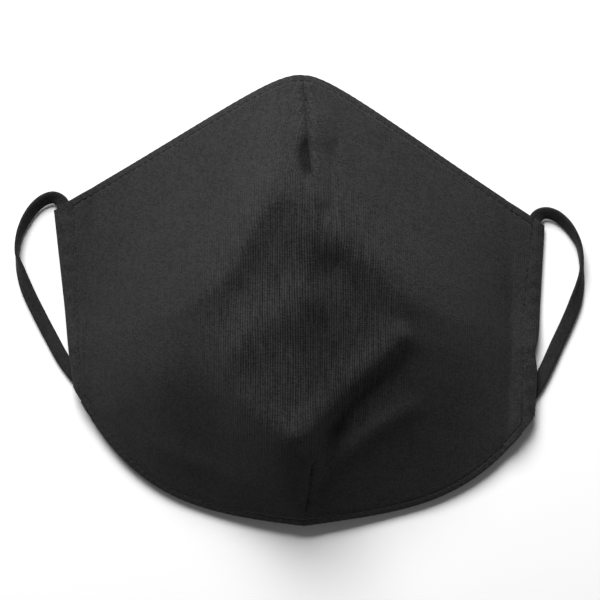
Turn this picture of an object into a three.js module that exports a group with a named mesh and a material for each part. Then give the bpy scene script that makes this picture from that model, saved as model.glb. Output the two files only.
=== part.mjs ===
// A cloth face mask: one knitted panel, darted at the nose and the chin, lying open side down.
// Millimetres, +Z up, nose towards +Y. The origin is on the surface that the mask rests on.
import * as THREE from 'three';

// ---- cloth and elastic ----
const CLOTH_WALL = 2.0;
const PIECE_GAP = 0.3; // what touching pieces keep between them
const ELASTIC = { width: 5.0, thickness: 1.6 };

// ---- plan of the panel ----
// The top edge falls away from a rounded nose on both sides, and the bottom edge is a broad bow
// with a blunt chin, whose ends turn up at the corners.
const NOSE = { x: 0.5, y: 81.6, roundness: 7 };
const TOP_SLOPE = { left: 0.58, right: 0.66 };
const CHIN = { x: 1.6, y: -81.6, slope: 0.12 };
const CORNER = {
  left: { reach: 77, rise: 28.5 },
  right: { reach: 83, rise: 28 },
  power: 3.75,
};

// ---- side channels: folded hems with the elastic inside ----
// axisX is the channel's middle at y = 0, and lean is how far that moves for each mm of y.
const CHANNEL = { width: 8.0, wall: 1.0, hollowHeight: 2.2, corner: 0.7 };
const SIDES = {
  left: {
    sign: -1, axisX: -82.2, lean: -0.111, topInner: 35.5, topOuter: 33.2, foldY: -31.8,
  },
  right: {
    sign: 1, axisX: 84.0, lean: 0.056, topInner: 30.4, topOuter: 28.0, foldY: -39.5,
  },
};
const CHANNEL_HEIGHT = CHANNEL.hollowHeight + 2 * CHANNEL.wall;
const REST_MIDDLE = CHANNEL_HEIGHT / 2; // height of the cloth's middle where it lies flat
const CHANNEL_LIFT = { height: 2.5, start: 0, end: -20 }; // the elastic passes under this end

// ---- dome ----
const DOME = { height: 34.5, halfWidth: 80, sidePower: 2.5, sideEase: 1.15 };
// The crest is the dome's highest line and the ledge is the lower rim of its sunken front, point
// by point from the left. Between them the front slopes gently.
const CREST = [
  { x: -80, y: -16 }, { x: -50, y: -9 }, { x: -28, y: 3 }, { x: -20, y: 13 }, { x: -15, y: 26 },
  { x: -11, y: 34 }, { x: 1, y: 34 }, { x: 7, y: 26 }, { x: 15, y: 18 }, { x: 24, y: 11 },
  { x: 38, y: -1 }, { x: 55, y: -8 }, { x: 80, y: -10 },
];
const LEDGE = [
  { x: -80, y: -24 }, { x: -50, y: -24 }, { x: -32, y: -21 }, { x: -15, y: -37 },
  { x: 0, y: -51 }, { x: 20, y: -30 }, { x: 40, y: -11 }, { x: 55, y: -17 }, { x: 80, y: -18 },
];
const FRONT_SLOPE = [
  { x: -40, rise: 0.02 }, { x: -20, rise: 0.05 }, { x: -2, rise: 0.08 },
  { x: 12, rise: 0.24 }, { x: 28, rise: 0.22 }, { x: 45, rise: 0.1 },
];
const FALL = { chin: 0.88, nose: 1.15 }; // 1 would be a straight slope
const EASE = { reach: 6, samples: 9, crease: 1.3 }; // how softly those lines bend
const NOSE_LIFT = { height: 11, reach: 0.85 };
const CHIN_LIFT = { height: 3, reach: 0.5 };

// ---- folds: a row each, from one end to the other, height above the dome or below it ----
const FOLDS = [
  { name: 'fold over the right chin', x0: 35, y0: -12, x1: 1, y1: -47, width: 5, height: 3.1 },
  { name: 'valley under it', x0: 37, y0: -21, x1: 13, y1: -43, width: 5, height: -1.9 },
  { name: 'valley down to the chin', x0: 11, y0: -46, x1: 3, y1: -72, width: 5, height: -1.5 },
  { name: 'second fold', x0: 37, y0: -39, x1: 8, y1: -59, width: 5, height: 1.8 },
  { name: 'fold across the front', x0: 2, y0: 1, x1: -21, y1: -17, width: 6.5, height: 1.8 },
  { name: 'left shoulder', x0: -11, y0: 40, x1: -26, y1: 4, width: 8, height: 1.2 },
  { name: 'left of the dent', x0: -7, y0: 28, x1: -20, y1: 3, width: 6, height: -0.9 },
  { name: 'right shoulder', x0: 3, y0: 25, x1: 37, y1: 0, width: 9, height: 0.8 },
  { name: 'right of the dent', x0: 12, y0: 10, x1: 28, y1: -6, width: 9, height: -1.4 },
  { name: 'puff at the left corner', x0: -74, y0: -30, x1: -70, y1: -38, width: 6, height: 2.0 },
  { name: 'puff at the right corner', x0: 79, y0: -42, x1: 75, y1: -50, width: 7, height: 2.0 },
];

// ---- darts ----
const NOSE_DART = { tip: 46, towardsEdge: 1, width: 8, dimple: 2.0, dimpleReach: 6 };
const CHIN_DART = { tip: -52, towardsEdge: -1, width: 7, dimple: 1.5, dimpleReach: 6 };
// Two layers of the knit, pressed flat beside the seam.
const DART_FOLD = { thickness: 1.4, below: 0.55, tipWidth: 1.5, aside: 0.4, hemClearance: 1.5 };
const DART_CREASE = { depth: 0.7, reach: 3 };

// ---- hems ----
const HEM = { width: 2.8, thickness: 3.2 };

// ---- fineness of the faceted solids ----
const BODY_GRID = { across: 38, along: 28 };
const HEM_STEPS = 44;
const CHANNEL_STEPS = 21;
const LOOP_STEPS = 64;
const DART_GRID = { across: 3, along: 8 };

// ---- ear loops: each ring's route, with its roll in degrees; a half twist closes it ----
const LOOP_ROUTES = {
  left: [
    { x: -82.2, y: 0, z: 2.1, roll: 0 },
    { x: -84.2, y: 18, z: 2.1, roll: 0 },
    { x: -85.6, y: 30.5, z: 2.1, roll: 0 },
    { x: -85.9, y: 33.3, z: 2.1, roll: 0 },
    { x: -87.2, y: 36.1, z: 2.3, roll: 14 },
    { x: -89.9, y: 37.5, z: 2.5, roll: 30 },
    { x: -93.4, y: 36.5, z: 2.6, roll: 36 },
    { x: -96.9, y: 33.6, z: 2.6, roll: 42 },
    { x: -99.9, y: 29.2, z: 2.7, roll: 50 },
    { x: -102.4, y: 23.4, z: 2.8, roll: 72 },
    { x: -103.1, y: 17.2, z: 2.8, roll: 84 },
    { x: -101.9, y: 11.2, z: 2.75, roll: 125 },
    { x: -99.6, y: 4, z: 2.15, roll: 155 },
    { x: -95.7, y: -4.5, z: 1.45, roll: 172 },
    { x: -91, y: -13.6, z: 1.15, roll: 178 },
    { x: -86.6, y: -21.6, z: 1.1, roll: 180 },
    { x: -82.6, y: -27, z: 1.15, roll: 180 },
    { x: -79.6, y: -30.3, z: 1.25, roll: 180 },
    { x: -78.5, y: -32.8, z: 1.6, roll: 180 },
    { x: -78.4, y: -33.5, z: 2.9, roll: 180 },
    { x: -78.5, y: -32.7, z: 4.3, roll: 180 },
    { x: -79, y: -29.5, z: 4.6, roll: 180 },
    { x: -79.9, y: -21, z: 4.6, roll: 180 },
    { x: -80.5, y: -15.5, z: 4.28, roll: 180 },
    { x: -81.1, y: -10, z: 3.35, roll: 180 },
    { x: -81.7, y: -5, z: 2.49, roll: 180 },
  ],
  right: [
    { x: 84, y: 0, z: 2.1, roll: 0 },
    { x: 84.9, y: 15, z: 2.1, roll: 0 },
    { x: 85.4, y: 25, z: 2.1, roll: 0 },
    { x: 85.6, y: 28, z: 2.1, roll: 0 },
    { x: 86.9, y: 30.6, z: 2.3, roll: -14 },
    { x: 89.5, y: 31.8, z: 2.5, roll: -30 },
    { x: 92.9, y: 31.1, z: 2.6, roll: -36 },
    { x: 96.1, y: 28.9, z: 2.6, roll: -42 },
    { x: 99, y: 25.6, z: 2.7, roll: -52 },
    { x: 101.9, y: 20, z: 2.8, roll: -72 },
    { x: 102.9, y: 13, z: 2.85, roll: -84 },
    { x: 102.5, y: 6.6, z: 2.75, roll: -118 },
    { x: 100.7, y: -0.8, z: 2.15, roll: -155 },
    { x: 97.6, y: -8.8, z: 1.45, roll: -172 },
    { x: 94.2, y: -16.2, z: 1.15, roll: -178 },
    { x: 90.6, y: -24.2, z: 1.15, roll: -180 },
    { x: 87, y: -31.2, z: 1.2, roll: -180 },
    { x: 83.6, y: -36.4, z: 1.25, roll: -180 },
    { x: 81.9, y: -40.4, z: 1.6, roll: -180 },
    { x: 81.8, y: -41.2, z: 2.9, roll: -180 },
    { x: 81.8, y: -40.4, z: 4.3, roll: -180 },
    { x: 82, y: -37, z: 4.6, roll: -180 },
    { x: 82.8, y: -21, z: 4.6, roll: -180 },
    { x: 83.1, y: -15.5, z: 4.28, roll: -180 },
    { x: 83.4, y: -10, z: 3.35, roll: -180 },
    { x: 83.7, y: -5, z: 2.49, roll: -180 },
  ],
};

// ---- small maths ----
const clamp01 = (value) => Math.min(1, Math.max(0, value));
const mix = (a, b, part) => a + (b - a) * part;

function smoothstep(start, end, value) {
  const part = clamp01((value - start) / (end - start));
  return part * part * (3 - 2 * part);
}

// ---- the panel's outline ----
function topEdge(x) {
  const slope = x < NOSE.x ? TOP_SLOPE.left : TOP_SLOPE.right;
  return NOSE.y - slope * (Math.hypot(x - NOSE.x, NOSE.roundness) - NOSE.roundness);
}

function bottomEdge(x) {
  const corner = x < CHIN.x ? CORNER.left : CORNER.right;
  const away = Math.abs(x - CHIN.x);
  return CHIN.y + CHIN.slope * away + corner.rise * (away / corner.reach) ** CORNER.power;
}

const channelX = (side, y) => side.axisX + side.lean * y;

// ---- the cloth's outer surface, as a height over the plan ----
function foldHeight(x, y) {
  return FOLDS.reduce((sum, fold) => {
    const along = new THREE.Vector2(fold.x1 - fold.x0, fold.y1 - fold.y0);
    const offset = new THREE.Vector2(x - fold.x0, y - fold.y0);
    const part = clamp01(offset.dot(along) / along.lengthSq());
    const distance = offset.addScaledVector(along, -part).length();
    const ends = 0.35 + 0.65 * Math.sin(Math.PI * mix(0.15, 0.85, part));
    return sum + fold.height * ends * Math.exp(-((distance / fold.width) ** 2));
  }, 0);
}

function dartHeight(x, y, dart, centreX) {
  const inDart = smoothstep(-3, 4, (y - dart.tip) * dart.towardsEdge);
  const crease = DART_CREASE.depth * inDart * Math.exp(-(((x - centreX) / DART_CREASE.reach) ** 2));
  const toTip = Math.hypot(x - centreX, y - dart.tip) / dart.dimpleReach;
  return -crease - dart.dimple * Math.exp(-toTip * toTip);
}

function fromTable(rows, column, x) {
  const after = rows.findIndex((row) => row.x > x);
  if (after === 0) return rows[0][column];
  if (after < 0) return rows[rows.length - 1][column];
  const [from, to] = rows.slice(after - 1, after + 1);
  return mix(from[column], to[column], (x - from.x) / (to.x - from.x));
}

// A value read from a table, with the table's corners eased.
function eased(rows, column, x) {
  let sum = 0;
  for (let sample = 0; sample < EASE.samples; sample += 1) {
    const shift = mix(-EASE.reach, EASE.reach, sample / (EASE.samples - 1));
    sum += fromTable(rows, column, x + shift);
  }
  return sum / EASE.samples;
}

// The lowest of some slopes, with rounded creases where they meet.
function lowestOf(slopes) {
  const least = Math.min(...slopes);
  const total = slopes.reduce((sum, slope) => sum + Math.exp((least - slope) / EASE.crease), 0);
  return least - EASE.crease * Math.log(total);
}

// Up from the chin, gently up the sunken front, and down to the nose.
function domeHeight(x, y, beside) {
  const low = bottomEdge(x);
  const high = topEdge(x);
  const crown = DOME.height * (1 - beside ** DOME.sidePower) ** DOME.sideEase;
  const crest = eased(CREST, 'y', x);
  const ledge = eased(LEDGE, 'y', x);
  const rise = (eased(FRONT_SLOPE, 'rise', x) * crown) / DOME.height;
  const ledgeHeight = crown - rise * (crest - ledge);
  const upTheChin = Math.max(y - low, 0) / Math.max(ledge - low, 1);
  const downTheNose = Math.max(y - crest, 0) / Math.max(high - crest, 1);
  return Math.max(0, lowestOf([
    ledgeHeight * upTheChin ** FALL.chin,
    ledgeHeight + rise * (y - ledge),
    crown * (1 - downTheNose ** FALL.nose),
  ]));
}

function panelMiddleHeight(x, y) {
  const low = bottomEdge(x);
  const along = clamp01((y - low) / (topEdge(x) - low));
  const beside = Math.min(1, Math.abs(x) / DOME.halfWidth);
  const noseLift = NOSE_LIFT.height * (1 - smoothstep(0, NOSE_LIFT.reach, beside)) * along ** 1.5;
  const chinLift = CHIN_LIFT.height * (1 - smoothstep(0, CHIN_LIFT.reach, beside)) * (1 - along) ** 2;
  const inside = smoothstep(0, 0.1, along) * smoothstep(0, 0.1, 1 - along);
  const folds = foldHeight(x, y) * inside * (1 - beside ** 4);
  const darts = dartHeight(x, y, NOSE_DART, NOSE.x) + dartHeight(x, y, CHIN_DART, CHIN.x);
  return REST_MIDDLE + sideLift(y) * beside ** 5 + domeHeight(x, y, beside)
    + noseLift + chinLift + folds + darts;
}

function sideLift(y) {
  return CHANNEL_LIFT.height * (1 - smoothstep(CHANNEL_LIFT.end, CHANNEL_LIFT.start, y));
}

const panelMiddle = (x, y) => new THREE.Vector3(x, y, panelMiddleHeight(x, y));

function panelNormal(x, y) {
  const step = 0.8;
  const alongX = panelMiddle(x + step, y).sub(panelMiddle(x - step, y));
  const alongY = panelMiddle(x, y + step).sub(panelMiddle(x, y - step));
  return alongX.cross(alongY).normalize();
}

// A point at a height off the wall's middle, square to the cloth.
const offPanel = (x, y, height) => panelMiddle(x, y).addScaledVector(panelNormal(x, y), height);

// ---- closed solids from grids and rings of points ----
function geometryOf(points, triangles) {
  const geometry = new THREE.BufferGeometry();
  const flat = points.flatMap((point) => [point.x, point.y, point.z]);
  geometry.setAttribute('position', new THREE.Float32BufferAttribute(flat, 3));
  geometry.setIndex(triangles);
  geometry.computeVertexNormals();
  return geometry;
}

function pushQuad(triangles, a, b, c, d) {
  triangles.push(a, b, c, a, c, d);
}

// A slab between an upper and a lower grid of points, rows running along +Y and columns along +X.
function slab(upper, lower) {
  const rows = upper.length;
  const columns = upper[0].length;
  const points = [...upper.flat(), ...lower.flat()];
  const top = (row, column) => row * columns + column;
  const under = (row, column) => rows * columns + top(row, column);
  const triangles = [];
  for (let row = 0; row < rows - 1; row += 1) {
    for (let column = 0; column < columns - 1; column += 1) {
      pushQuad(triangles, top(row, column), top(row, column + 1),
        top(row + 1, column + 1), top(row + 1, column));
      pushQuad(triangles, under(row, column), under(row + 1, column),
        under(row + 1, column + 1), under(row, column + 1));
    }
    pushQuad(triangles, top(row, 0), top(row + 1, 0), under(row + 1, 0), under(row, 0));
    pushQuad(triangles, top(row + 1, columns - 1), top(row, columns - 1),
      under(row, columns - 1), under(row + 1, columns - 1));
  }
  for (let column = 0; column < columns - 1; column += 1) {
    pushQuad(triangles, top(0, column + 1), top(0, column), under(0, column), under(0, column + 1));
    pushQuad(triangles, top(rows - 1, column), top(rows - 1, column + 1),
      under(rows - 1, column + 1), under(rows - 1, column));
  }
  return geometryOf(points, triangles);
}

// Joins ring after ring; each ring's points turn clockwise as seen looking along the route.
function pushRings(triangles, first, rings, size, inward = false) {
  for (let ring = 0; ring < rings; ring += 1) {
    for (let index = 0; index < size; index += 1) {
      const next = (index + 1) % size;
      const here = first + ring * size;
      const there = here + size;
      if (inward) pushQuad(triangles, here + index, here + next, there + next, there + index);
      else pushQuad(triangles, here + index, there + index, there + next, here + next);
    }
  }
}

function solidBar(rings) {
  const size = rings[0].length;
  const triangles = [];
  pushRings(triangles, 0, rings.length - 1, size);
  const last = (rings.length - 1) * size;
  for (let index = 1; index < size - 1; index += 1) {
    triangles.push(0, index, index + 1);
    triangles.push(last, last + index + 1, last + index);
  }
  return geometryOf(rings.flat(), triangles);
}

function solidRing(rings) {
  const size = rings[0].length;
  const count = rings.length;
  const triangles = [];
  pushRings(triangles, 0, count, size);
  const wrapped = triangles.map((index) => index % (count * size));
  return geometryOf(rings.flat(), wrapped);
}

function hollowBar(outerRings, innerRings) {
  const size = outerRings[0].length;
  const count = outerRings.length;
  const inner = count * size;
  const triangles = [];
  pushRings(triangles, 0, count - 1, size);
  pushRings(triangles, inner, count - 1, size, true);
  const last = (count - 1) * size;
  for (let index = 0; index < size; index += 1) {
    const next = (index + 1) % size;
    pushQuad(triangles, index, next, inner + next, inner + index);
    pushQuad(triangles, last + next, last + index, inner + last + index, inner + last + next);
  }
  return geometryOf([...outerRings.flat(), ...innerRings.flat()], triangles);
}

// Eight corners of a flat bar's section, anticlockwise from the right.
function barSection(width, height, corner) {
  const w = width / 2;
  const h = height / 2;
  return [
    [w, -h + corner], [w, h - corner], [w - corner, h], [-w + corner, h],
    [-w, h - corner], [-w, -h + corner], [-w + corner, -h], [w - corner, -h],
  ];
}

// ---- the pieces ----
function hemInset(edge, x) {
  const step = 0.5;
  const slope = (edge(x + step) - edge(x - step)) / (2 * step);
  return (HEM.width + PIECE_GAP) * Math.hypot(1, slope);
}

function bodySideX(side, y) {
  const inward = -side.sign * (CHANNEL.width / 2 + PIECE_GAP);
  return channelX(side, y) + inward;
}

// Where a line beside a channel crosses an edge of the panel.
function crossing(side, offset, edge) {
  let y = edge(side.axisX);
  for (let round = 0; round < 12; round += 1) y = edge(channelX(side, y) + offset);
  return { x: channelX(side, y) + offset, y };
}

function bodyShell() {
  const { left, right } = SIDES;
  const inner = CHANNEL.width / 2 + PIECE_GAP;
  const lowLeft = crossing(left, inner, bottomEdge);
  const lowRight = crossing(right, -inner, bottomEdge);
  const highLeft = crossing(left, inner, topEdge);
  const highRight = crossing(right, -inner, topEdge);
  const upper = [];
  const lower = [];
  for (let row = 0; row <= BODY_GRID.along; row += 1) {
    const along = row / BODY_GRID.along;
    upper.push([]);
    lower.push([]);
    for (let column = 0; column <= BODY_GRID.across; column += 1) {
      const across = column / BODY_GRID.across;
      const lowX = mix(lowLeft.x, lowRight.x, across);
      const highX = mix(highLeft.x, highRight.x, across);
      const lowY = bottomEdge(lowX) + hemInset(bottomEdge, lowX);
      const highY = topEdge(highX) - hemInset(topEdge, highX);
      const y = mix(lowY, highY, along);
      const plainX = mix(lowX, highX, along);
      const x = Math.min(bodySideX(right, y), Math.max(bodySideX(left, y), plainX));
      upper[row].push(betweenChannels(offPanel(x, y, CLOTH_WALL / 2)));
      lower[row].push(betweenChannels(offPanel(x, y, -CLOTH_WALL / 2)));
    }
  }
  return slab(upper, lower);
}

function betweenChannels(point) {
  const lowest = bodySideX(SIDES.left, point.y);
  const highest = bodySideX(SIDES.right, point.y);
  point.x = Math.min(highest, Math.max(lowest, point.x));
  return point;
}

function hem(edge, towardsBody, startX, endX) {
  const section = barSection(HEM.width, HEM.thickness, 0.8);
  const rings = [];
  for (let step = 0; step <= HEM_STEPS; step += 1) {
    const x = mix(startX, endX, step / HEM_STEPS);
    const slope = (edge(x + 0.5) - edge(x - 0.5));
    const route = new THREE.Vector2(1, slope).normalize();
    const inward = new THREE.Vector2(-route.y, route.x).multiplyScalar(towardsBody);
    const centreX = x + (inward.x * HEM.width) / 2;
    const centreY = edge(x) + (inward.y * HEM.width) / 2;
    const centre = panelMiddle(centreX, centreY);
    const normal = panelNormal(centreX, centreY);
    const outward = new THREE.Vector3(route.x, route.y, 0).cross(normal).normalize();
    const square = outward.clone().cross(new THREE.Vector3(route.x, route.y, 0)).normalize();
    rings.push(section.map(([across, up]) => centre.clone()
      .addScaledVector(outward, across)
      .addScaledVector(square, up)));
  }
  return solidBar(rings);
}

// The channel's underside stops at foldY, where the elastic folds back under it, and its upper side
// runs on to the panel's bottom edge.
function channelRings(side, width, height, corner) {
  const section = barSection(width, height, corner);
  const rings = [];
  for (let step = 0; step <= CHANNEL_STEPS; step += 1) {
    const along = step / CHANNEL_STEPS;
    rings.push(section.map(([across, up]) => {
      const outerPart = 0.5 + (side.sign * across) / CHANNEL.width;
      const top = mix(side.topInner, side.topOuter, outerPart);
      const overElastic = bottomEdge(channelX(side, side.foldY) + across) + 0.4;
      const bottom = up > 0 ? Math.min(overElastic, side.foldY - 0.5) : side.foldY + 0.3;
      const y = mix(bottom, top, along);
      return new THREE.Vector3(channelX(side, y) + across, y, REST_MIDDLE + sideLift(y) + up);
    }));
  }
  return rings;
}

function sideChannel(side) {
  const { width, wall, corner } = CHANNEL;
  const outer = channelRings(side, width, CHANNEL_HEIGHT, corner);
  const inner = channelRings(side, width - 2 * wall, CHANNEL.hollowHeight, corner / 2);
  return hollowBar(outer, inner);
}

function earLoop(route) {
  const curve = new THREE.CatmullRomCurve3(
    route.map(({ x, y, z }) => new THREE.Vector3(x, y, z)), true, 'centripetal',
  );
  const section = barSection(ELASTIC.width, ELASTIC.thickness, 0.5);
  const stations = [];
  for (let step = 0; step < LOOP_STEPS; step += 1) {
    const place = (step / LOOP_STEPS) * route.length;
    const row = Math.floor(place);
    const next = row + 1 < route.length ? route[row + 1].roll : route[row].roll;
    stations.push({ place: place / route.length, roll: mix(route[row].roll, next, place - row) });
  }
  let flat = new THREE.Vector3(1, 0, 0);
  const frames = stations.map(({ place, roll }) => {
    const centre = curve.getPoint(place);
    const ahead = curve.getTangent(place);
    flat = flat.clone().addScaledVector(ahead, -flat.dot(ahead)).normalize();
    return { centre, ahead, flat, roll };
  });
  const startFlat = frames[0].flat;
  const endFlat = frames[LOOP_STEPS - 1].flat;
  const endUp = endFlat.clone().cross(frames[LOOP_STEPS - 1].ahead);
  const finalRoll = THREE.MathUtils.degToRad(frames[LOOP_STEPS - 1].roll);
  const reached = endFlat.clone().multiplyScalar(Math.cos(finalRoll))
    .addScaledVector(endUp, Math.sin(finalRoll));
  const missing = Math.atan2(
    startFlat.dot(reached.clone().cross(frames[0].ahead)), startFlat.dot(reached),
  );
  const rings = frames.map(({ centre, ahead, flat: across, roll }, index) => {
    const angle = THREE.MathUtils.degToRad(roll) + missing * (index / LOOP_STEPS);
    const up = across.clone().cross(ahead);
    const wide = across.clone().multiplyScalar(Math.cos(angle)).addScaledVector(up, Math.sin(angle));
    const thick = wide.clone().cross(ahead);
    return section.map(([w, h]) => centre.clone()
      .addScaledVector(wide, w)
      .addScaledVector(thick, h));
  });
  return solidRing(rings);
}

// The cloth that a dart takes in: a wedge folded flat to the right, from the dart's tip to the hem.
function dartFold(dart, centreX, edge) {
  const top = -CLOTH_WALL / 2 - DART_FOLD.below;
  const upper = [];
  const lower = [];
  for (let row = 0; row <= DART_GRID.along; row += 1) {
    const part = row / DART_GRID.along;
    const openness = dart.towardsEdge > 0 ? part : 1 - part;
    const width = mix(DART_FOLD.tipWidth, dart.width, openness);
    upper.push([]);
    lower.push([]);
    for (let column = 0; column <= DART_GRID.across; column += 1) {
      const x = centreX + DART_FOLD.aside + (width * column) / DART_GRID.across;
      const mouth = edge(x) - dart.towardsEdge * (hemInset(edge, x) + DART_FOLD.hemClearance);
      const y = mix(dart.tip, mouth, openness);
      upper[row].push(offPanel(x, y, top));
      lower[row].push(offPanel(x, y, top - DART_FOLD.thickness));
    }
  }
  return slab(upper, lower);
}

// ---- materials and the finished mask ----
const knitMaterial = () => new THREE.MeshStandardMaterial({ color: 0x242427, roughness: 0.92 });
const elasticMaterial = () => new THREE.MeshStandardMaterial({ color: 0x1f1f21, roughness: 0.85 });

function piece(name, geometry, material) {
  const mesh = new THREE.Mesh(geometry, material);
  mesh.name = name;
  return mesh;
}

const topCorners = [SIDES.left, SIDES.right].map((side) => (
  crossing(side, -side.sign * (CHANNEL.width / 2 + PIECE_GAP), topEdge).x));
const bottomCorners = [SIDES.left, SIDES.right].map((side) => (
  crossing(side, -side.sign * (CHANNEL.width / 2 + PIECE_GAP), bottomEdge).x));

const mask = new THREE.Group();
mask.add(piece('mask_body', bodyShell(), knitMaterial()));
mask.add(piece('top_hem', hem(topEdge, -1, topCorners[0], topCorners[1]), knitMaterial()));
mask.add(piece('bottom_hem', hem(bottomEdge, 1, bottomCorners[0], bottomCorners[1]), knitMaterial()));
mask.add(piece('nose_dart', dartFold(NOSE_DART, NOSE.x, topEdge), knitMaterial()));
mask.add(piece('chin_dart', dartFold(CHIN_DART, CHIN.x, bottomEdge), knitMaterial()));
for (const [name, side] of Object.entries(SIDES)) {
  mask.add(piece(`side_channel_${name}`, sideChannel(side), knitMaterial()));
  mask.add(piece(`ear_loop_${name}`, earLoop(LOOP_ROUTES[name]), elasticMaterial()));
}

export default mask;
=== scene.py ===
import math

import bpy
import numpy as np
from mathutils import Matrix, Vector


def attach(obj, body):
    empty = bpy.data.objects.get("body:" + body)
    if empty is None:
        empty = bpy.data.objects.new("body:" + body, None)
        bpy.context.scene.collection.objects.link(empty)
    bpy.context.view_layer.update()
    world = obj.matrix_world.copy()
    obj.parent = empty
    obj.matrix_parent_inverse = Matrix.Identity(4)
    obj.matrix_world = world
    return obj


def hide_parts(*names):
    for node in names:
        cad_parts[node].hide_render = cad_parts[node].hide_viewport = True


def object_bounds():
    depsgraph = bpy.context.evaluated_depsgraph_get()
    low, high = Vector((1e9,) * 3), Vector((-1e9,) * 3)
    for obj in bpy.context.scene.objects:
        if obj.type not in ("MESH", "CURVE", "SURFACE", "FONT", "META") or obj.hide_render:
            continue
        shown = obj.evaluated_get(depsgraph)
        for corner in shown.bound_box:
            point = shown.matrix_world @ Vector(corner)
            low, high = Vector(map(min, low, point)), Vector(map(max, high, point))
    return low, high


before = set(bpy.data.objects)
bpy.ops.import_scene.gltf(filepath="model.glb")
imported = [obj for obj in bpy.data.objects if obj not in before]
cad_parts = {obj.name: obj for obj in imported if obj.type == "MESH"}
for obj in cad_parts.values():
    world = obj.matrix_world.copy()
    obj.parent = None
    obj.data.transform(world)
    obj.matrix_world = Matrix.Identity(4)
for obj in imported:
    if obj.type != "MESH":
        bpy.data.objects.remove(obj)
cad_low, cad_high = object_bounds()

# ======== Camera, floor and light ========
# A plain pale table under one broad soft lamp beyond the nose, a little to the left, with a weak
# white room around it. The camera looks straight down on the mask from arm's length.
MM = 0.001  # the pieces are worked out in mm and made in metres
VIEW_WIDTH = 218.2 * MM
LENS = 100.0
SENSOR = 36.0
VIEW_DEPTH = 50.0
OUTLINE_HEIGHT = 5 * MM  # the height at which the cloth's outline lies
FLOOR = {"size": 6.0, "colour": (0.93, 0.93, 0.93, 1), "roughness": 0.9, "shine": 0.1}
LAMP = {"towards": (-0.20, 0.82, 0.70), "distance": 1.3, "size": 0.7, "power": 31.5}
ROOM = {"colour": (1.0, 1.0, 1.0, 1.0), "strength": 0.12}

scene = bpy.context.scene
scene.view_settings.view_transform = "Standard"
middle = (cad_low + cad_high) / 2

camera_data = bpy.data.cameras.new("camera")
camera_data.lens = LENS
camera_data.sensor_width = SENSOR
camera_data.clip_end = VIEW_DEPTH
camera = bpy.data.objects.new("camera", camera_data)
camera.location = (middle.x, middle.y, OUTLINE_HEIGHT + VIEW_WIDTH * LENS / SENSOR)
scene.collection.objects.link(camera)
scene.camera = camera

floor_mesh = bpy.data.meshes.new("floor")
half = FLOOR["size"] / 2
floor_mesh.from_pydata(
    [(-half, -half, 0), (half, -half, 0), (half, half, 0), (-half, half, 0)], [], [(0, 1, 2, 3)])
floor_paint = bpy.data.materials.new("white_table")
floor_paint.use_nodes = True
floor_finish = floor_paint.node_tree.nodes["Principled BSDF"]
floor_finish.inputs["Base Color"].default_value = FLOOR["colour"]
floor_finish.inputs["Roughness"].default_value = FLOOR["roughness"]
floor_finish.inputs["Specular IOR Level"].default_value = FLOOR["shine"]
floor_mesh.materials.append(floor_paint)
floor = bpy.data.objects.new("floor", floor_mesh)
scene.collection.objects.link(floor)

lamp_data = bpy.data.lights.new("lamp", "AREA")
lamp_data.size = LAMP["size"]
lamp_data.energy = LAMP["power"]
lamp = bpy.data.objects.new("lamp", lamp_data)
lamp.location = Vector(LAMP["towards"]).normalized() * LAMP["distance"]
lamp.rotation_euler = Vector(LAMP["towards"]).to_track_quat("Z", "Y").to_euler()
scene.collection.objects.link(lamp)

room = bpy.data.worlds.new("room")
room.use_nodes = True
room.node_tree.nodes["Background"].inputs["Color"].default_value = ROOM["colour"]
room.node_tree.nodes["Background"].inputs["Strength"].default_value = ROOM["strength"]
scene.world = room

# ======== The panel ========
# One piece of fine black knit in two layers, darted at the nose and at the chin so that it stands
# as a dome. It lies slack: its front has sunk into a diamond between soft folds.
CLOTH = 2.0  # the wall, mm
REST_MIDDLE = 2.1  # height of the wall's middle where the side channels lie flat
NOSE = {"x": 0.5, "y": 80.2, "roundness": 9.4}
TOP_SLOPE = {"left": 0.58, "right": 0.66}
CHIN = {"x": 1.6, "y": -81.6, "slope": 0.12}
CORNER_REACH = {"left": 77, "right": 83}
CORNER_RISE = {"left": 28.5, "right": 28}
CORNER_POWER = 3.75
DOME = {"height": 34.5, "half_width": 80, "side_power": 2.5, "side_ease": 1.15}
# The crest is the dome's highest line and the ledge the lower rim of its sunken front, as
# (x, y) points from the left; between them the front slopes gently, as (x, slope) points.
CREST = ((-80, -16), (-50, -9), (-28, 3), (-20, 13), (-15, 26), (-11, 34), (1, 34), (7, 26),
         (15, 18), (24, 11), (38, -1), (55, -8), (80, -10))
LEDGE = ((-80, -24), (-50, -24), (-32, -21), (-15, -37), (0, -51), (20, -30), (40, -11),
         (55, -17), (80, -18))
FRONT_SLOPE = ((-40, 0.0), (-20, -0.05), (-2, -0.01), (12, 0.19), (28, 0.24), (45, 0.1))
FALL = {"chin": 0.95, "nose": 1.1}  # 1 would be a straight slope
# How softly those lines bend, and how round the creases along them are.
EASE = {"reach": 6, "samples": 9, "crease": 1.9}
# How far the panel's edge rises off the table: at the nose, the chin and the sides' lower ends.
NOSE_LIFT = {"height": 12.5, "reach": 0.85, "power": 1.5}
CHIN_LIFT = {"height": 3, "reach": 0.5, "power": 2}
CHANNEL_LIFT = {"height": 2.5, "start": 0, "end": -20, "side_power": 5}
CHANNEL_FULLNESS = {"height": 0.7, "start": 0.93, "end": 0.98}  # from the elastic inside
FOLD_FADE = {"edge": 0.1, "side_power": 4}  # how the folds die out towards the stitched edges
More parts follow.
